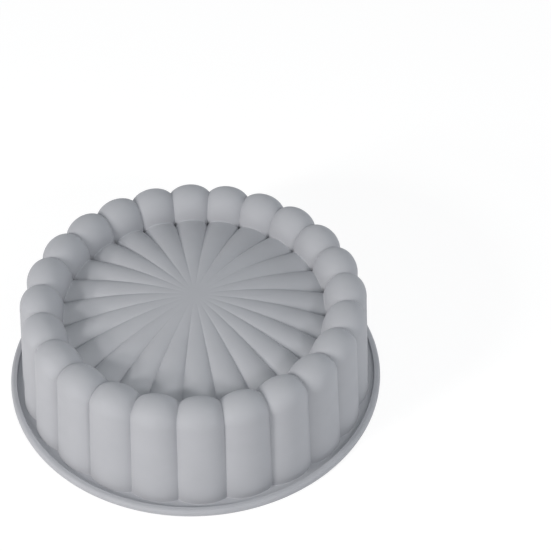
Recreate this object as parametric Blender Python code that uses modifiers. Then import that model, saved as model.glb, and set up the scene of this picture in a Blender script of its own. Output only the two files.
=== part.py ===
# Fluted silicone mousse cake mould, standing on its mouth with the closed side up.
# The real mould is one flexible casting. It is kept here as its five zones, which meet face to face
# on level planes: flange, rim_bead, fluted_wall, lobed_crown and fluted_floor.
# Metres, +Z up. The origin is the middle of the mouth plane, which is what the mould stands on.

import math
from collections import namedtuple

import bmesh
import bpy
import numpy as np

# Lobes: each one is an arc across, from crease to crease, with its crest in the middle
LOBE_COUNT = 24
LOBE_ARC_HALF_ANGLE = math.radians(60)

# Flutes: how far out their crests stand at the flange, and how far they lean in up to the spring of the crown
CREST_BASE_RADIUS = 0.0963
WALL_LEAN = 0.0040
SPRING_HEIGHT = 0.0504

# Crown, along a crest: outwards and inwards of its top, and above the spring and the floor's edge. Its outer
# side is a quarter ellipse, but a power above 2 makes it leave the wall more gently
CROWN_OUTER_WIDTH = 0.0106
CROWN_INNER_WIDTH = 0.0122
CROWN_RISE = 0.0117
CROWN_DROP = 0.0134
SHOULDER_POWER = 2.4

# Floor: how far its middle stands above its edge, the powers of the radius by which it falls and by which its
# ribs grow in height, and the upturned lip at its edge that carries the crown
FLOOR_RISE = 0.0080
FLOOR_POWER = 2.2
RIB_POWER = 2.0
FLOOR_LIP_HEIGHT = 0.0008

# Creases between the lobes: how far in they lie behind the crests, and how far below them
CREASE_BASE_DEPTH = 0.0028
CREASE_SPRING_DEPTH = 0.0038
CREASE_TOP_DEPTH = 0.0010
CREASE_TOP_DROP = 0.0050
CREASE_FOOT_DEPTH = 0.0019
CREASE_FOOT_DROP = 0.0044

# Silicone behind a lobe's crest, and behind a crease, where it is thicker
CREST_THICKNESS = 0.0018
CREASE_THICKNESS = 0.0025

# Rim: the strip of flange that shows between the crests and the bead, and the low bead on the flange's edge,
# flat on top with a wide round outside and a small one inside
LEDGE_WIDTH = 0.0026
BEAD_WIDTH = 0.0036
BEAD_HEIGHT = 0.0018
BEAD_OUTER_ROUND = 0.0019
BEAD_INNER_ROUND = 0.0005
FLANGE_THICKNESS = 0.0020
FLANGE_CORNER_RADIUS = 0.0008
MOUTH_EDGE_RADIUS = 0.0008

# Facets
COLUMNS_PER_LOBE = 6
ARCH_STEPS = 5
FLOOR_STEPS = 4
CORNER_STEPS = 2
BEAD_OUTER_STEPS = 4
BEAD_INNER_STEPS = 2
BEAD_TURN_STEPS = 72
MERGE_DISTANCE = 0.00001
SMOOTH_ANGLE = math.radians(35)

# Grey silicone rubber, a shade apart from zone to zone
SILICONE_ROUGHNESS = 0.5
SILICONE_IOR = 1.41
ZONE_COLOURS = {
    "flange": (0.36, 0.37, 0.39),
    "rim_bead": (0.42, 0.43, 0.45),
    "fluted_wall": (0.40, 0.41, 0.43),
    "lobed_crown": (0.38, 0.39, 0.41),
    "fluted_floor": (0.34, 0.35, 0.37),
}

PART_COLLECTION = "silicone_mousse_cake_mould"

# One side view of the casting: the wall leans in from base to spring, the crown arches over from
# spring to top to foot, and the floor rises from the foot to the middle. The floor's fall and the rib's
# height are those at the floor's radius
SideView = namedtuple("SideView", "base spring top top_height foot foot_height centre_height "
                                  "floor_radius floor_fall rib_height")


def crest_view():
    """Outer face along a lobe's crest."""
    spring = CREST_BASE_RADIUS - WALL_LEAN
    top = spring - CROWN_OUTER_WIDTH
    top_height = SPRING_HEIGHT + CROWN_RISE
    foot = top - CROWN_INNER_WIDTH
    foot_height = top_height - CROWN_DROP
    return SideView(CREST_BASE_RADIUS, spring, top, top_height, foot, foot_height, foot_height + FLOOR_RISE,
                    foot, FLOOR_RISE + CREASE_FOOT_DROP, CREASE_FOOT_DROP)


def crease_view():
    """Outer face along the crease between two lobes, behind and below the crest."""
    crest = crest_view()
    foot = crest.foot + CREASE_FOOT_DEPTH
    return SideView(crest.base - CREASE_BASE_DEPTH, crest.spring - CREASE_SPRING_DEPTH,
                    crest.top - CREASE_TOP_DEPTH, crest.top_height - CREASE_TOP_DROP,
                    foot, crest.foot_height - CREASE_FOOT_DROP, crest.centre_height,
                    foot, crest.floor_fall, 0)


def flange_radius():
    """The mould's outer radius."""
    return CREST_BASE_RADIUS + LEDGE_WIDTH + BEAD_WIDTH


def clear_scene():
    """Empty the file."""
    for old in list(bpy.data.objects):
        bpy.data.objects.remove(old, do_unlink=True)


def silicone(zone):
    """Satin silicone rubber in the zone's colour."""
    material = bpy.data.materials.new(f"silicone_{zone}")
    material.use_nodes = True
    shader = material.node_tree.nodes["Principled BSDF"]
    shader.inputs["Base Color"].default_value = (*ZONE_COLOURS[zone], 1)
    shader.inputs["Roughness"].default_value = SILICONE_ROUGHNESS
    shader.inputs["Metallic"].default_value = 0
    shader.inputs["IOR"].default_value = SILICONE_IOR
    material.diffuse_color = (*ZONE_COLOURS[zone], 1)
    return material


def add_zone(name, mesh, collection):
    """An object for one zone, shaded smooth but for its creases."""
    mesh.shade_smooth()
    mesh.set_sharp_from_angle(angle=SMOOTH_ANGLE)
    mesh.materials.append(silicone(name))
    item = bpy.data.objects.new(name, mesh)
    collection.objects.link(item)
    return item


def floor_height(view, radius):
    """A curve down from the floor's middle, with a rib on it that stands higher the further out."""
    share = radius / view.floor_radius
    fall = view.floor_fall * share**FLOOR_POWER
    return view.centre_height - fall + view.rib_height * share**RIB_POWER


def inner_view(outer, thickness):
    """The inner face's side view, behind the outer one. At the floor's middle all views come together."""
    inner = outer._replace(base=outer.base - thickness, spring=outer.spring - thickness,
                           top_height=outer.top_height - thickness, foot=outer.foot + thickness,
                           centre_height=outer.centre_height - CREST_THICKNESS,
                           floor_fall=outer.floor_fall + thickness - CREST_THICKNESS)
    return inner._replace(foot_height=floor_height(inner, inner.foot))


def split_height():
    """Level plane on which the crown stands, on the wall outside and on the floor's lip inside."""
    return crest_view().foot_height + FLOOR_LIP_HEIGHT


def wall_rows(view):
    """Radius and height at the wall's foot, on the flange, and at its top, under the crown."""
    share = (split_height() - FLANGE_THICKNESS) / (SPRING_HEIGHT - FLANGE_THICKNESS)
    top_radius = view.base + (view.spring - view.base) * share
    return [(view.base, FLANGE_THICKNESS), (top_radius, split_height())]


def lip_turn(view):
    """Turn along the crown's inner quarter ellipse, from its foot up, at which it meets the split plane."""
    return math.asin((split_height() - view.foot_height) / (view.top_height - view.foot_height))


def leg_point(view, turn):
    """Radius and height on the inner quarter ellipse, at a turn of 0 at its foot and a right angle on top."""
    radius = view.top - (view.top - view.foot) * math.cos(turn)
    return radius, view.foot_height + (view.top_height - view.foot_height) * math.sin(turn)


def crown_rows(view):
    """Radius and height from the wall's top over the crown's shoulder and inner side and down to the lip."""
    points = [wall_rows(view)[1]]
    for turn in np.linspace(0, math.pi / 2, ARCH_STEPS, endpoint=False):
        radius = view.top + (view.spring - view.top) * math.cos(turn)
        lift = math.sin(turn)**(2 / SHOULDER_POWER)
        points.append((radius, SPRING_HEIGHT + (view.top_height - SPRING_HEIGHT) * lift))
    for turn in np.linspace(math.pi / 2, lip_turn(view), ARCH_STEPS + 1):
        points.append(leg_point(view, turn))
    return points


def floor_rows(view):
    """Radius and height from the lip's top down to the foot and along the floor, short of its middle."""
    points = [leg_point(view, lip_turn(view))]
    for radius in np.linspace(view.foot, 0, FLOOR_STEPS, endpoint=False):
        points.append((radius, floor_height(view, radius)))
    return points


def lobe_columns():
    """Polar angle of each column round the mould, and its share of the way from crest to crease."""
    half_pitch = math.pi / LOBE_COUNT
    half_columns = COLUMNS_PER_LOBE // 2
    arc = np.arange(-half_columns, half_columns) * LOBE_ARC_HALF_ANGLE / half_columns
    across = np.sin(arc) / math.sin(LOBE_ARC_HALF_ANGLE)
    fall = (1 - np.cos(arc)) / (1 - math.cos(LOBE_ARC_HALF_ANGLE))
    lobe_middles = np.arange(LOBE_COUNT)[:, None] * 2 * half_pitch
    return (lobe_middles + across * half_pitch).ravel(), np.tile(fall, LOBE_COUNT)


def level_ring(radius, height):
    """A level ring with a radius, or with a radius for each column."""
    angle, _ = lobe_columns()
    return np.stack([radius * np.cos(angle), radius * np.sin(angle), np.full_like(angle, height)], axis=1)


def lobed_rings(rows, crest, crease):
    """Rings round the mould, each lofted from its place on the crest to its place in the crease."""
    angle, fall = lobe_columns()
    rings = []
    for (crest_radius, crest_height), (crease_radius, crease_height) in zip(rows(crest), rows(crease)):
        radius = crest_radius + (crease_radius - crest_radius) * fall
        height = crest_height + (crease_height - crest_height) * fall
        rings.append(np.stack([radius * np.cos(angle), radius * np.sin(angle), height], axis=1))
    return rings


def both_faces(rows):
    """Outer rings of a zone and then its inner rings in reverse, so that they run once round its wall."""
    inner_crest = inner_view(crest_view(), CREST_THICKNESS)
    inner_crease = inner_view(crease_view(), CREASE_THICKNESS)
    return lobed_rings(rows, crest_view(), crease_view()), lobed_rings(rows, inner_crest, inner_crease)[::-1]


def loft(name, rings, poles=None):
    """A closed mesh over rings of equal count: a ring-shaped tube, or a body that ends in two poles."""
    form = bmesh.new()
    rows = [[form.verts.new(point) for point in ring] for ring in rings]
    pairs = list(zip(rows, rows[1:]))
    if poles is None:
        pairs.append((rows[-1], rows[0]))
    for near, far in pairs:
        for here in range(len(near)):
            after = (here + 1) % len(near)
            form.faces.new((near[here], near[after], far[after], far[here]))
    if poles is not None:
        first, last = (form.verts.new(pole) for pole in poles)
        for here in range(len(rows[0])):
            after = (here + 1) % len(rows[0])
            form.faces.new((first, rows[0][after], rows[0][here]))
            form.faces.new((rows[-1][here], rows[-1][after], last))
    mesh = bpy.data.meshes.new(name)
    form.to_mesh(mesh)
    form.free()
    return mesh


def fluted_wall(collection):
    """Leaning wall of convex flutes, from the flange up to the crown."""
    outer, inner = both_faces(wall_rows)
    add_zone("fluted_wall", loft("fluted_wall", outer + inner), collection)


def lobed_crown(collection):
    """Ring of ball-ended lobes that arches from the wall over to the floor's lip."""
    outer, inner = both_faces(crown_rows)
    add_zone("lobed_crown", loft("lobed_crown", outer + inner), collection)


def fluted_floor(collection):
    """Recessed closed side: a low dome with a radial rib for each lobe, fading to a plain middle."""
    outer, inner = both_faces(floor_rows)
    middle = crest_view().centre_height
    poles = ((0, 0, middle - CREST_THICKNESS), (0, 0, middle))
    add_zone("fluted_floor", loft("fluted_floor", inner + outer, poles), collection)


def corner_turns():
    """Turns of a rounded edge, over its right angle."""
    return np.linspace(0, math.pi / 2, CORNER_STEPS + 1)


def flange(collection):
    """Flat collar: round outside, and scalloped inside, where it carries on the wall's inner face."""
    _, fall = lobe_columns()
    crest_mouth = crest_view().base - CREST_THICKNESS
    crease_mouth = crease_view().base - CREASE_THICKNESS
    mouth = crest_mouth + (crease_mouth - crest_mouth) * fall
    rings = [level_ring(mouth, FLANGE_THICKNESS)]
    for turn in corner_turns():
        widening = MOUTH_EDGE_RADIUS * (1 - math.cos(turn))
        rings.append(level_ring(mouth + widening, MOUTH_EDGE_RADIUS * (1 - math.sin(turn))))
    for turn in corner_turns():
        radius = flange_radius() - FLANGE_CORNER_RADIUS * (1 - math.sin(turn))
        rings.append(level_ring(radius, FLANGE_CORNER_RADIUS * (1 - math.cos(turn))))
    rings.append(level_ring(flange_radius(), FLANGE_THICKNESS))
    add_zone("flange", loft("flange", rings), collection)


def rim_bead(collection):
    """Low bead that stiffens the flange's outer edge: its outline turned about the axis."""
    inside = flange_radius() - BEAD_WIDTH
    top = FLANGE_THICKNESS + BEAD_HEIGHT
    outline = [(inside, FLANGE_THICKNESS)]
    for turn in np.linspace(0, math.pi / 2, BEAD_INNER_STEPS + 1):
        outline.append((inside + BEAD_INNER_ROUND * (1 - math.cos(turn)),
                        top - BEAD_INNER_ROUND * (1 - math.sin(turn))))
    for turn in np.linspace(math.pi / 2, 0, BEAD_OUTER_STEPS + 1):
        outline.append((flange_radius() - BEAD_OUTER_ROUND * (1 - math.cos(turn)),
                        FLANGE_THICKNESS + BEAD_HEIGHT * math.sin(turn)))
    mesh = bpy.data.meshes.new("rim_bead")
    corners = [(radius, 0, height) for radius, height in outline]
    mesh.from_pydata(corners, [(here, (here + 1) % len(corners)) for here in range(len(corners))], [])
    screw = add_zone("rim_bead", mesh, collection).modifiers.new("turn", "SCREW")
    screw.steps = BEAD_TURN_STEPS
    screw.render_steps = BEAD_TURN_STEPS
    screw.use_merge_vertices = True
    screw.merge_threshold = MERGE_DISTANCE
    screw.use_smooth_shade = True


def build():
    """The whole mould, standing at the origin."""
    clear_scene()
    mould = bpy.data.collections.new(PART_COLLECTION)
    bpy.context.scene.collection.children.link(mould)
    for zone in (flange, rim_bead, fluted_wall, lobed_crown, fluted_floor):
        zone(mould)


build()
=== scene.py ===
# Fluted silicone cake mould, standing on its mouth on a pale table
import math
import bpy
import numpy as np
from mathutils import Matrix, Vector


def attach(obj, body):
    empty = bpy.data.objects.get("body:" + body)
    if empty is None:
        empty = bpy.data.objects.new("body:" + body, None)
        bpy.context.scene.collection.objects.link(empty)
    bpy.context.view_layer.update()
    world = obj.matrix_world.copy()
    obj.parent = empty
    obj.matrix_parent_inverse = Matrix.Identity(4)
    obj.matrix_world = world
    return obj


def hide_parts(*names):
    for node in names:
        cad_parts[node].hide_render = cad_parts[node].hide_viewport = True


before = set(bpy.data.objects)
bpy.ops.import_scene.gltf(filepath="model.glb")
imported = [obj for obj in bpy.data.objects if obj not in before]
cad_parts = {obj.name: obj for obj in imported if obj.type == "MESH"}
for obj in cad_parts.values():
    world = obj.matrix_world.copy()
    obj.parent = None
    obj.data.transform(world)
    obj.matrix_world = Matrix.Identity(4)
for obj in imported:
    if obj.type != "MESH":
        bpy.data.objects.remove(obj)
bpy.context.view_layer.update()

mm = 0.001

# Sizes are in mm and angles in degrees, for a user to change. They are for the outer face's crests, and
# what is named for a crease says how far it lies behind or below the crest. Rows run down that face, from
# the flange to the floor's middle
lobes = {
    "count": 24,
    "columns": 28,             # across one lobe
    "halfAngle": 60,           # the arc from a lobe's crest to its crease, on the wall and the crown
    "thickness": 1.8, "creaseThickness": 2.5,
    "creaseRound": 0.10,       # how far a crease's rounded bottom stands above a sharp one
    "ridgeRound": 1.3,         # the same for the ridges inside
    "softLimit": 0.6,          # the most rounding, as a share of a crease's depth
}
wall = {
    "baseRadius": 96.3, "lean": 4.0, "springHeight": 50.4,
    "creaseBase": 2.8, "creaseSpring": 3.8,
    "footFillet": 0.2,
    "flareRows": 4, "lowerRows": 8, "upperRows": 2,    # the lower rows end at the crown's level join
}
crown = {
    "outward": 10.6, "inward": 12.2, "rise": 11.7, "drop": 13.4,
    "shoulderPower": 2.4,      # above 2, the outer side starts flat from the wall
    "creaseTop": 1.0, "creaseTopDrop": 4.1,
    "creaseFoot": 1.9, "creaseFootDrop": 4.4,
    "outerRows": 14, "innerRows": 14,
}
floor = {
    "rise": 8.0, "lip": 0.8,   # up to the middle, and up the crown's inner side to the join
    "fallPower": 2.2,          # how the floor falls with the radius
    "ribPower": 2.0,           # how the ribs' height grows with it
    "ribHalfAngle": (62, 74),  # a rib's arc at the middle and at the foot
    "ribFade": (0.04, 0.20),   # shares of the floor's radius between which the ribs rise out of the middle
    "ribFillet": 0.7, "creaseFillet": 0.35,            # where the crown comes down on the floor
    "dip": 0.35, "dipRadius": 66.0, "dipWidth": 3.5,   # the creases' sag before their foot
    "legRows": 5, "cornerRows": 6, "rows": 31,
    "rowPower": 1.5,           # above 1, the rows crowd towards the foot
}
pits = {                       # one at each crease's foot
    "outside": {"depth": 2.4, "length": 1.7, "width": 0.95},
    "inside": {"depth": 1.7, "length": 2.8, "width": 2.1},    # the bump behind it, which keeps the thickness
    "outShare": 0.4, "downShare": 0.9,                 # how far a pit goes out and down, over its depth
}
flange = {
    "thickness": 2.0, "ledge": 2.6,                    # the ledge is from the wall's foot to the bead
    "corner": 0.8, "mouthEdge": 0.8,                   # radii of its rounded edges
    "steps": 7,                # points on each quarter turn
}
bead = {
    "width": 3.6, "height": 1.8,
    "outerRound": 1.9, "innerRound": 0.5,
    "steps": 9,                # points on each quarter turn
}

flangeRadius = wall["baseRadius"] + flange["ledge"] + bead["width"]
joinHeight = wall["springHeight"] + crown["rise"] - crown["drop"] + floor["lip"]
# numbers of the rows at the two joins, at the crown's top and at its foot
wallJoin = wall["flareRows"] + wall["lowerRows"]
topRow = wallJoin + wall["upperRows"] + crown["outerRows"]
floorJoin = topRow + crown["innerRows"]
footRow = floorJoin + floor["legRows"]


def crestView():
    # radii and heights of the outer face along a crest, added up from the sizes
    spring = wall["baseRadius"] - wall["lean"]
    top = spring - crown["outward"]
    topHeight = wall["springHeight"] + crown["rise"]
    foot = top - crown["inward"]
    footHeight = topHeight - crown["drop"]
    return {
        "base": wall["baseRadius"], "spring": spring, "top": top, "topHeight": topHeight,
        "foot": foot, "footHeight": footHeight, "fillet": floor["ribFillet"],
        "middle": footHeight + floor["rise"], "floorRadius": foot,
        "floorFall": floor["rise"] + crown["creaseFootDrop"],
        "rib": crown["creaseFootDrop"], "dip": 0,
    }


def creaseView():
    # the same along a crease, each point behind or below its place on the crest
    crest = crestView()
    foot = crest["foot"] + crown["creaseFoot"]
    return {
        "base": crest["base"] - wall["creaseBase"], "spring": crest["spring"] - wall["creaseSpring"],
        "top": crest["top"] - crown["creaseTop"], "topHeight": crest["topHeight"] - crown["creaseTopDrop"],
        "foot": foot, "footHeight": crest["footHeight"] - crown["creaseFootDrop"],
        "fillet": floor["creaseFillet"],
        "middle": crest["middle"], "floorRadius": foot, "floorFall": crest["floorFall"],
        "rib": 0, "dip": floor["dip"],
    }


def floorHeight(view, radius):
    # a power of the radius down from the floor's middle to the creases' foot, and on the crests a rib above
    # it whose height grows with another power, faded in by a smooth step. In the creases a bell curve's sag
    share = radius / view["floorRadius"]
    start, end = floor["ribFade"]
    fade = np.clip((share - start) / (end - start), 0, 1)
    rib = view["rib"] * share**floor["ribPower"] * fade * fade * (3 - 2 * fade)
    dip = view["dip"] * np.exp(-((radius - floor["dipRadius"]) / floor["dipWidth"])**2)
    return view["middle"] - view["floorFall"] * share**floor["fallPower"] + rib - dip


def behind(view, thickness):
    # inner face of a side view: its sizes moved into the silicone by the thickness, and the crown's foot put
    # on the floor's inner face
    inner = dict(view, base=view["base"] - thickness, spring=view["spring"] - thickness,
                 topHeight=view["topHeight"] - thickness, foot=view["foot"] + thickness,
                 middle=view["middle"] - lobes["thickness"],
                 floorFall=view["floorFall"] + thickness - lobes["thickness"])
    inner["footHeight"] = floorHeight(inner, inner["foot"])
    return inner


def wallRadius(view, height):
    # straight line from the base radius at the flange's top to the spring radius
    share = (height - flange["thickness"]) / (wall["springHeight"] - flange["thickness"])
    return view["base"] + (view["spring"] - view["base"]) * share


def sideRows(view, flare):
    # radius and height down the whole side view. Wall: a straight line, flared at its foot by a quarter
    # circle. Crown: two quarter ellipses, the outer one's height on a power of the sine. Foot: a parabola
    # from three points. Floor: floorHeight, at radii that fall with a power of the row
    fillet = wall["footFillet"]
    turns = np.linspace(0, math.pi / 2, wall["flareRows"], endpoint=False)
    height = flange["thickness"] + fillet * (1 - np.cos(turns))
    rows = [np.stack([wallRadius(view, height) + flare * (1 - np.sin(turns)), height], 1)]
    for low, high, count in ((flange["thickness"] + fillet, joinHeight, wall["lowerRows"]),
                             (joinHeight, wall["springHeight"], wall["upperRows"])):
        height = np.linspace(low, high, count, endpoint=False)
        rows.append(np.stack([wallRadius(view, height), height], 1))

    outward = view["spring"] - view["top"]
    rise = view["topHeight"] - wall["springHeight"]
    turns = np.linspace(0, math.pi / 2, crown["outerRows"], endpoint=False)
    lift = np.sin(turns)**(2 / crown["shoulderPower"])
    rows.append(np.stack([view["top"] + outward * np.cos(turns), wall["springHeight"] + rise * lift], 1))

    inward = view["top"] - view["foot"]
    drop = view["topHeight"] - view["footHeight"]
    joinTurn = math.asin((joinHeight - view["footHeight"]) / drop)
    footTurn = math.asin(view["fillet"] / drop)
    for start, end, count in ((math.pi / 2, joinTurn, crown["innerRows"]),
                              (joinTurn, footTurn, floor["legRows"])):
        turns = np.linspace(start, end, count, endpoint=False)
        rows.append(np.stack([view["top"] - inward * np.cos(turns),
                              view["footHeight"] + drop * np.sin(turns)], 1))

    floorStart = view["foot"] - view["fillet"]
    legEnd = np.array([view["top"] - inward * math.cos(footTurn), view["footHeight"] + view["fillet"]])
    corner = np.array([view["foot"], view["footHeight"]])
    floorEnd = np.array([floorStart, floorHeight(view, floorStart)])
    t = np.linspace(0, 1, floor["cornerRows"], endpoint=False)[:, None]
    rows.append(legEnd * (1 - t)**2 + corner * 2 * t * (1 - t) + floorEnd * t**2)
    radius = floorStart * (1 - np.linspace(0, 1, floor["rows"], endpoint=False)**floor["rowPower"])
    rows.append(np.stack([radius, floorHeight(view, radius)], 1))
    return np.concatenate(rows)


def columnPlaces():
    # places across a lobe from -1 to 1, crowded towards its creases: the sine of an angle that slows to its
    # ends as a sine does
    half = math.radians(lobes["halfAngle"])
    step = np.arange(lobes["columns"]) / lobes["columns"] * 2 - 1
    return np.sin(half * np.sin(step * math.pi / 2)) / math.sin(half)


pitch = 2 * math.pi / lobes["count"]
lobeAngle = ((np.arange(lobes["count"])[:, None] + columnPlaces() / 2) * pitch).ravel()


def lobeFall(halfAngle, softness, keepDepth):
    # share of the way from crest to crease at each column, for each row's half angle and softness. Across a
    # lobe it is a circle's arc, and where two meet it is the soft minimum of the arc and its neighbour's
    # tangent
    half = np.radians(halfAngle)
    across = columnPlaces()
    fall = (1 - np.sqrt(1 - (across * np.sin(half))**2)) / (1 - np.cos(half))
    slope = np.sin(half)**2 / np.cos(half) / (1 - np.cos(half))
    neighbour = 1 + slope * (1 - np.abs(across))
    soft = (fall + neighbour) / 2 - np.sqrt((neighbour - fall)**2 + softness**2) / 2
    soft -= soft[..., lobes["columns"] // 2, None]
    if keepDepth:
        soft /= soft[..., :1]
    return np.tile(soft, lobes["count"])


def ringGrid(radius, height):
    # rows of points round the mould, from a radius and a height for each row, or for each row and column
    return np.stack([radius * np.cos(lobeAngle), radius * np.sin(lobeAngle), height + 0 * lobeAngle], -1)


def lobedGrid(crest, crease, roundness, keepDepth):
    # each row runs round the mould from its place on the crests to its place in the creases. The arc's half
    # angle goes from the wall's to the ribs' between the crown's top and its foot, and falls towards the
    # middle. The softness is the roundness over the crease's depth
    rows = np.arange(len(crest))
    blend = np.clip((rows - topRow) / (footRow - topRow), 0, 1)
    share = np.clip(crest[:, 0] / crest[footRow, 0], 0, 1)
    middleAngle, footAngle = floor["ribHalfAngle"]
    crownAngle = lobes["halfAngle"] + (footAngle - lobes["halfAngle"]) * blend**2
    ribAngle = middleAngle + (footAngle - middleAngle) * share**2
    halfAngle = np.where(rows < footRow, crownAngle, ribAngle)
    depth = np.linalg.norm(crest - crease, axis=1)
    softness = roundness / np.maximum(depth, roundness / lobes["softLimit"])
    fall = lobeFall(halfAngle[:, None], softness[:, None], keepDepth)
    radius = crest[:, :1] + (crease[:, :1] - crest[:, :1]) * fall
    height = crest[:, 1:] + (crease[:, 1:] - crest[:, 1:]) * fall
    return ringGrid(radius, height)


def addPits(points, crease, foot, size):
    # a pit where each crease is nearest to the foot, sunk out and down by a bell curve along and across it
    middle = crease[np.argmin(np.linalg.norm(crease - foot, axis=1))]
    radius = np.hypot(points[..., 0], points[..., 1])
    across = (1 - np.abs(np.tile(columnPlaces(), lobes["count"]))) * math.pi / lobes["count"] * radius
    along = np.linalg.norm(np.stack([radius, points[..., 2]], -1) - middle, axis=-1)
    sink = size["depth"] * np.exp(-(along / size["length"])**2 - (across / size["width"])**2)
    outwards = points[..., :2] / radius[..., None]
    sunk = points.copy()
    sunk[..., :2] += outwards * sink[..., None] * pits["outShare"]
    sunk[..., 2] -= sink * pits["downShare"]
    return sunk


def gridNormals(points):
    # cross product of the steps round a row and across the rows
    around = np.roll(points, -1, 1) - np.roll(points, 1, 1)
    along = np.gradient(points, axis=0)
    normals = np.cross(around, along)
    return normals / np.linalg.norm(normals, axis=-1, keepdims=True)


def addNode(tree, kind, settings=None, links=None, **attributes):
    # one node with its settings by input name or number, and links as input: source socket
    node = tree.nodes.new(kind)
    for name, value in attributes.items():
        setattr(node, name, value)
    for name, value in (settings or {}).items():
        node.inputs[name].default_value = value
    for name, source in (links or {}).items():
        tree.links.new(source, node.inputs[name])
    return node


def linearColour(hexText):
    # sRGB hex to linear light: a straight line near black, and a power above it
    channels = [int(hexText[i:i + 2], 16) / 255 for i in (1, 3, 5)]
    return [c / 12.92 if c <= 0.04045 else ((c + 0.055) / 1.055)**2.4 for c in channels] + [1]


def newMaterial(name):
    # a material with an empty node tree
    material = bpy.data.materials.new(name)
    material.use_nodes = True
    material.node_tree.nodes.clear()
    return material, material.node_tree


# Two finishes of one rubber. The grain and the pigment's clouds are widths in mm. Blasted grain is really
# about 0.1 mm wide, and the satin one is drawn coarser, so that it still shows
satin = {"colour": "#A8AAAF", "shade": "#A2A4A9", "roughness": 0.68,
         "grain": 0.35, "grainDepth": 0.010, "clouds": 14.0}
gloss = {"colour": "#9FA1A6", "shade": "#999BA1", "roughness": 0.20,
         "grain": 0.8, "grainDepth": 0.004, "clouds": 18.0}
rubber = {"ior": 1.41, "specularLevel": 0.5, "bumpStrength": 0.5,
          "cloudDetail": 3.0, "cloudRoughness": 0.5, "cloudRange": (0.3, 0.7),
          "smoother": 0.04, "rougher": 0.05,           # how far the roughness varies with the clouds
          "grainDetail": 2.0, "grainRoughness": 0.6}


def siliconeRubber(name, look):
    # Moulded silicone rubber. Blasted tooling gives the outside a fine satin grain, and polished tooling
    # leaves the inside glossy. Clouds of pigment mix the colour with its shade, and vary the roughness
    # a little
    material, tree = newMaterial(name)
    place = addNode(tree, "ShaderNodeTexCoord").outputs["Object"]
    perMm = 1 / mm
    clouds = addNode(tree, "ShaderNodeTexNoise",
                     {"Scale": perMm / look["clouds"], "Detail": rubber["cloudDetail"],
                      "Roughness": rubber["cloudRoughness"]},
                     {"Vector": place})
    tint = addNode(tree, "ShaderNodeMix",
                   {"A": linearColour(look["colour"]), "B": linearColour(look["shade"])},
                   {"Factor": clouds.outputs["Fac"]}, data_type="RGBA")
    low, high = rubber["cloudRange"]
    rough = addNode(tree, "ShaderNodeMapRange",
                    {"From Min": low, "From Max": high,
                     "To Min": look["roughness"] - rubber["smoother"],
                     "To Max": look["roughness"] + rubber["rougher"]},
                    {"Value": clouds.outputs["Fac"]})
    grain = addNode(tree, "ShaderNodeTexNoise",
                    {"Scale": perMm / look["grain"], "Detail": rubber["grainDetail"],
                     "Roughness": rubber["grainRoughness"]},
                    {"Vector": place})
    bump = addNode(tree, "ShaderNodeBump",
                   {"Strength": rubber["bumpStrength"], "Distance": look["grainDepth"] * mm},
                   {"Height": grain.outputs["Fac"]})
    surface = addNode(tree, "ShaderNodeBsdfPrincipled",
                      {"IOR": rubber["ior"], "Specular IOR Level": rubber["specularLevel"]},
                      {"Base Color": tint.outputs["Result"], "Roughness": rough.outputs["Result"],
                       "Normal": bump.outputs["Normal"]})
    addNode(tree, "ShaderNodeOutputMaterial", links={"Surface": surface.outputs["BSDF"]})
    print("material", name)
    return material


def strip(points, normals, material):
    # one grid of a piece's surface, with a normal for each point and its material's number
    return {"points": points, "normals": normals, "material": material}


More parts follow.
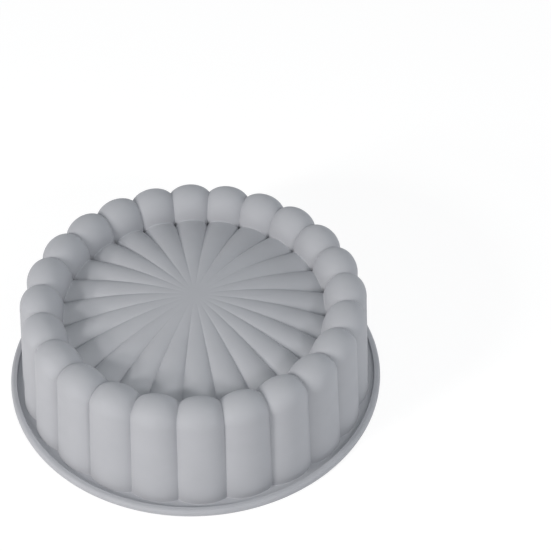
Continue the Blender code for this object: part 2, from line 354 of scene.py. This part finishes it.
def makePiece(name, node, strips, materials, poles=None):
    # Strips follow each other round the section. Their rows are joined by quads, and each strip to the next
    # by a band of quads with flat normals. The section closes back on its start, or ends in a fan of
    # triangles round each of two poles
    columns = strips[0]["points"].shape[1]
    points = np.concatenate([part["points"].reshape(-1, 3) for part in strips])
    normals = np.concatenate([part["normals"].reshape(-1, 3) for part in strips])
    starts = np.cumsum([0] + [len(part["points"]) for part in strips])
    here = np.arange(columns)
    after = (here + 1) % columns
    corners, counts, cornerNormals, slots = [], [], [], []

    def addFaces(faces, faceNormals, number):
        # one row for each face, with a normal for each of its corners
        corners.append(faces.ravel())
        counts.append(np.full(len(faces), faces.shape[1]))
        cornerNormals.append(faceNormals.reshape(-1, 3))
        slots.append(np.full(len(faces), number))

    def band(near, far):
        # quads between each near row and its far one
        return np.stack([near * columns + here, near * columns + after,
                         far * columns + after, far * columns + here], -1).reshape(-1, 4)

    for index, part in enumerate(strips):
        start, end = starts[index:index + 2]
        rows = np.arange(start, end - 1)[:, None]
        quads = band(rows, rows + 1)
        addFaces(quads, normals[quads], part["material"])
        final = index == len(strips) - 1
        if final and poles is not None:
            break
        quads = band(end - 1, 0 if final else end)
        edges = points[quads]
        flat = np.cross(edges[:, 1] - edges[:, 0], edges[:, 3] - edges[:, 0])
        flat /= np.linalg.norm(flat, axis=1, keepdims=True)
        addFaces(quads, np.repeat(flat[:, None], 4, 1), part["material"])
    if poles is not None:
        first, last = len(points), len(points) + 1
        endRow = (starts[-1] - 1) * columns
        points = np.concatenate([points, poles])
        normals = np.concatenate([normals, [[0, 0, -1], [0, 0, 1]]])
        lower = np.stack([np.full(columns, first), after, here], 1)
        upper = np.stack([endRow + here, endRow + after, np.full(columns, last)], 1)
        addFaces(lower, normals[lower], strips[0]["material"])
        addFaces(upper, normals[upper], strips[-1]["material"])

    faceCorners, faceCounts = np.concatenate(corners), np.concatenate(counts)
    mesh = bpy.data.meshes.new(name)
    mesh.vertices.add(len(points))
    mesh.vertices.foreach_set("co", (points * mm).ravel())
    mesh.loops.add(len(faceCorners))
    mesh.loops.foreach_set("vertex_index", faceCorners)
    mesh.polygons.add(len(faceCounts))
    mesh.polygons.foreach_set("loop_start", np.cumsum(faceCounts) - faceCounts)
    mesh.polygons.foreach_set("material_index", np.concatenate(slots))
    mesh.update(calc_edges=True)
    mesh.validate()
    mesh.shade_smooth()
    mesh.normals_split_custom_set(np.concatenate(cornerNormals))
    for material in materials:
        mesh.materials.append(material)
    piece = bpy.data.objects.new(name, mesh)
    bpy.context.scene.collection.objects.link(piece)
    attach(piece, "root")
    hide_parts(node)
    print("piece", name, "with", len(points), "points")


outside = siliconeRubber("siliconeRubberSatinMoulded", satin)
inside = siliconeRubber("siliconeRubberGlossMoulded", gloss)

innerCrestView = behind(crestView(), lobes["thickness"])
innerCreaseView = behind(creaseView(), lobes["creaseThickness"])
outerCrest = sideRows(crestView(), wall["footFillet"])
outerCrease = sideRows(creaseView(), wall["footFillet"])
innerCrest = sideRows(innerCrestView, 0)
innerCrease = sideRows(innerCreaseView, 0)
pitFoot = outerCrease[footRow + floor["cornerRows"] // 2]
outer = addPits(lobedGrid(outerCrest, outerCrease, lobes["creaseRound"], True),
                outerCrease, pitFoot, pits["outside"])
inner = addPits(lobedGrid(innerCrest, innerCrease, lobes["ridgeRound"], False),
                innerCrease, pitFoot, pits["inside"])
outerNormals = gridNormals(outer)
innerNormals = -gridNormals(inner)


def castingZone(name, node, first, last, poles=None):
    # a run of rows of both faces. The inner face comes back the other way, so that it looks inwards
    out = strip(outer[first:last + 1], outerNormals[first:last + 1], 0)
    back = strip(inner[first:last + 1][::-1], innerNormals[first:last + 1][::-1], 1)
    order = [out, back] if poles is None else [back, out]
    makePiece(name, node, order, [outside, inside], poles)


def buildFlange():
    # Inwards, a quarter circle from the inner face's first row to the level underside. Outwards, a quarter
    # circle from the underside to the outer side, which goes straight up to the bead. The rest is flat
    turns = np.linspace(0, math.pi / 2, flange["steps"])
    crestMouth = wallRadius(innerCrestView, flange["mouthEdge"])
    creaseMouth = wallRadius(innerCreaseView, flange["mouthEdge"])
    mouthDepth = np.linalg.norm(innerCrest[0] - innerCrease[0])
    fall = lobeFall(lobes["halfAngle"], lobes["ridgeRound"] / mouthDepth, False)
    mouth = crestMouth + (creaseMouth - crestMouth) * fall
    edge = ringGrid(mouth + flange["mouthEdge"] * (1 - np.cos(turns))[:, None],
                    flange["mouthEdge"] * (1 - np.sin(turns))[:, None])
    inward = np.concatenate([inner[:1], edge])
    corner = ringGrid((flangeRadius - flange["corner"] * (1 - np.sin(turns)))[:, None],
                      flange["corner"] * (1 - np.cos(turns))[:, None])
    top = ringGrid(np.array([[flangeRadius]]), np.array([[flange["thickness"]]]))
    outward = np.concatenate([corner, top])
    inwardNormals = gridNormals(inward)
    outwardNormals = gridNormals(outward)
    inwardNormals[0] = innerNormals[0]
    inwardNormals[-1] = outwardNormals[0] = [0, 0, -1]
    makePiece("flangeCollar", "flange",
              [strip(inward, inwardNormals, 1), strip(outward, outwardNormals, 0)], [outside, inside])


def buildBead():
    # a quarter ellipse up from the flange's edge, a flat top, a quarter circle and a straight inner side
    turns = np.linspace(0, math.pi / 2, bead["steps"])[:, None]
    foot = flange["thickness"]
    top = foot + bead["height"]
    innerRadius = flangeRadius - bead["width"]
    outerPart = np.hstack([flangeRadius - bead["outerRound"] * (1 - np.cos(turns)),
                           foot + bead["height"] * np.sin(turns)])
    innerPart = np.hstack([innerRadius + bead["innerRound"] * (1 - np.sin(turns)),
                           top - bead["innerRound"] * (1 - np.cos(turns))])
    section = np.concatenate([outerPart, innerPart, [[innerRadius, foot]]])
    grid = ringGrid(section[:, :1], section[:, 1:])
    makePiece("rimBead", "rim_bead", [strip(grid, gridNormals(grid), 0)], [outside])


buildFlange()
buildBead()
castingZone("flutedWall", "fluted_wall", 0, wallJoin)
castingZone("lobedCrown", "lobed_crown", wallJoin, floorJoin)
castingZone("flutedFloor", "fluted_floor", floorJoin, len(outer) - 1,
            np.array([[0, 0, innerCrestView["middle"]], [0, 0, crestView()["middle"]]]))

# the photograph's camera: angles in degrees, distance and sensor in mm, near end of the view in m, and the
# place of the mould's origin and the focal length in pixels of a square frame
shot = {"elevation": 47.16, "azimuth": -0.454, "distance": 718.7, "roll": 2.03,
        "originX": 196.96, "originY": 366.86, "focalPixels": 1276.3, "frame": 551,
        "sensor": 36, "nearEnd": 0.01}


def placeCamera():
    # The camera stands back along a line that rises at its elevation, and looks at the mould's origin. It is
    # rolled, and then turned the shortest way that brings the origin to its pixel
    lens = bpy.data.cameras.new("camera")
    lens.sensor_width = shot["sensor"]
    lens.lens = shot["focalPixels"] / shot["frame"] * shot["sensor"]
    lens.clip_start = shot["nearEnd"]
    camera = bpy.data.objects.new("camera", lens)
    bpy.context.scene.collection.objects.link(camera)
    elevation = math.radians(shot["elevation"])
    back = Vector((0, -math.cos(elevation), math.sin(elevation)))
    right = Vector((1, 0, 0))
    look = Matrix((right, back.cross(right), back)).transposed()
    roll = Matrix.Rotation(-math.radians(shot["roll"]), 3, "Z")
    half = shot["frame"] / 2
    towards = Vector((shot["originX"] - half, half - shot["originY"], -shot["focalPixels"]))
    turn = towards.normalized().rotation_difference(Vector((0, 0, -1))).to_matrix()
    around = Matrix.Rotation(math.radians(shot["azimuth"]), 4, "Z")
    place = Matrix.Translation(back * shot["distance"] * mm) @ (look @ roll @ turn).to_4x4()
    camera.matrix_world = around @ place
    bpy.context.scene.camera = camera
    print("camera placed")


# soft boxes that face the mould: azimuth and elevation in degrees, width and height in m, watts and colour
softBoxes = {
    "key": (215, 27, 0.20, 0.16, 6.7, "#FFFCF9"),
    "keyLow": (212, 18, 0.16, 0.12, 5.6, "#FFF9F5"),
    "fill": (305, 32, 0.25, 0.20, 3.8, "#FFFCFC"),
    "fillHigh": (300, 55, 0.70, 0.60, 1.65, "#FBFFFD"),
    "edgeRight": (10, 10, 0.80, 0.30, 2.4, "#F4FAFF"),
    "edgeBack": (110, 10, 0.80, 0.30, 1.6, "#F8FDFF"),
    "top": (0, 90, 0.70, 0.70, 3.1, "#FBFFFC"),
}
boxDistance = 1.4              # m from the mould's origin
sky = {"colour": "#F8FAFF", "strength": 0.322, "whiteStrength": 1.0}
# the table's side and its drop below the mould in m, and the share of white that covers the paper's own
# shading, which goes from the first number to the second between two distances from the mould in m
table = {"side": 6, "drop": 0.0003, "colour": "#F4F4F4", "whiteStrength": 1.1,
         "whiteShare": (0.75, 1.0), "whiteFrom": 0.4, "whiteFull": 1.2}


def addSoftBox(name, azimuth, elevation, width, height, power, colour):
    # a rectangular lamp on a sphere round the mould's origin, turned to face it
    lamp = bpy.data.lights.new(name, "AREA")
    lamp.shape = "RECTANGLE"
    lamp.size = width
    lamp.size_y = height
    lamp.energy = power
    lamp.color = linearColour(colour)[:3]
    box = bpy.data.objects.new(name, lamp)
    bpy.context.scene.collection.objects.link(box)
    a, e = math.radians(azimuth), math.radians(elevation)
    box.location = Vector((math.cos(a) * math.cos(e), math.sin(a) * math.cos(e), math.sin(e))) * boxDistance
    box.rotation_euler = box.location.to_track_quat("Z", "Y").to_euler()


def whiteRays(tree):
    # 1 for a ray that comes from the camera, from a glossy surface or through a clear one, and 0 for others
    path = addNode(tree, "ShaderNodeLightPath").outputs
    mirrored = addNode(tree, "ShaderNodeMath", operation="MAXIMUM",
                       links={0: path["Is Camera Ray"], 1: path["Is Glossy Ray"]})
    return addNode(tree, "ShaderNodeMath", operation="MAXIMUM",
                   links={0: mirrored.outputs[0], 1: path["Is Transmission Ray"]}).outputs[0]


def buildTable():
    # white paper that takes the mould's shadow, and turns pure white further off by a smooth step
    bpy.ops.mesh.primitive_plane_add(size=table["side"], location=(0, 0, -table["drop"]))
    top = bpy.context.object
    top.name = "table"
    material, tree = newMaterial("whitePaper")
    paper = addNode(tree, "ShaderNodeBsdfDiffuse", {"Color": linearColour(table["colour"])})
    white = addNode(tree, "ShaderNodeEmission",
                    {"Color": linearColour("#FFFFFF"), "Strength": table["whiteStrength"]})
    place = addNode(tree, "ShaderNodeTexCoord").outputs["Object"]
    away = addNode(tree, "ShaderNodeVectorMath", links={0: place}, operation="LENGTH").outputs["Value"]
    nearShare, farShare = table["whiteShare"]
    share = addNode(tree, "ShaderNodeMapRange",
                    {"From Min": table["whiteFrom"], "From Max": table["whiteFull"],
                     "To Min": nearShare, "To Max": farShare},
                    {"Value": away}, interpolation_type="SMOOTHSTEP")
    seen = addNode(tree, "ShaderNodeMath", links={0: whiteRays(tree), 1: share.outputs["Result"]},
                   operation="MULTIPLY")
    both = addNode(tree, "ShaderNodeMixShader",
                   links={0: seen.outputs[0], 1: paper.outputs[0], 2: white.outputs[0]})
    addNode(tree, "ShaderNodeOutputMaterial", links={"Surface": both.outputs[0]})
    top.data.materials.append(material)
    print("table built")


def buildSky():
    # a plain sky that lights the mould, and is white where it is seen or mirrored
    world = bpy.data.worlds.new("studio")
    bpy.context.scene.world = world
    world.use_nodes = True
    tree = world.node_tree
    tree.nodes.clear()
    glow = addNode(tree, "ShaderNodeBackground",
                   {"Color": linearColour(sky["colour"]), "Strength": sky["strength"]})
    white = addNode(tree, "ShaderNodeBackground",
                    {"Color": linearColour("#FFFFFF"), "Strength": sky["whiteStrength"]})
    both = addNode(tree, "ShaderNodeMixShader",
                   links={0: whiteRays(tree), 1: glow.outputs[0], 2: white.outputs[0]})
    addNode(tree, "ShaderNodeOutputWorld", links={"Surface": both.outputs[0]})
    print("sky built")


placeCamera()
buildTable()
buildSky()
for name, settings in softBoxes.items():
    addSoftBox(name, *settings)
print(len(softBoxes), "soft boxes placed")
bpy.context.scene.view_settings.view_transform = "Standard"
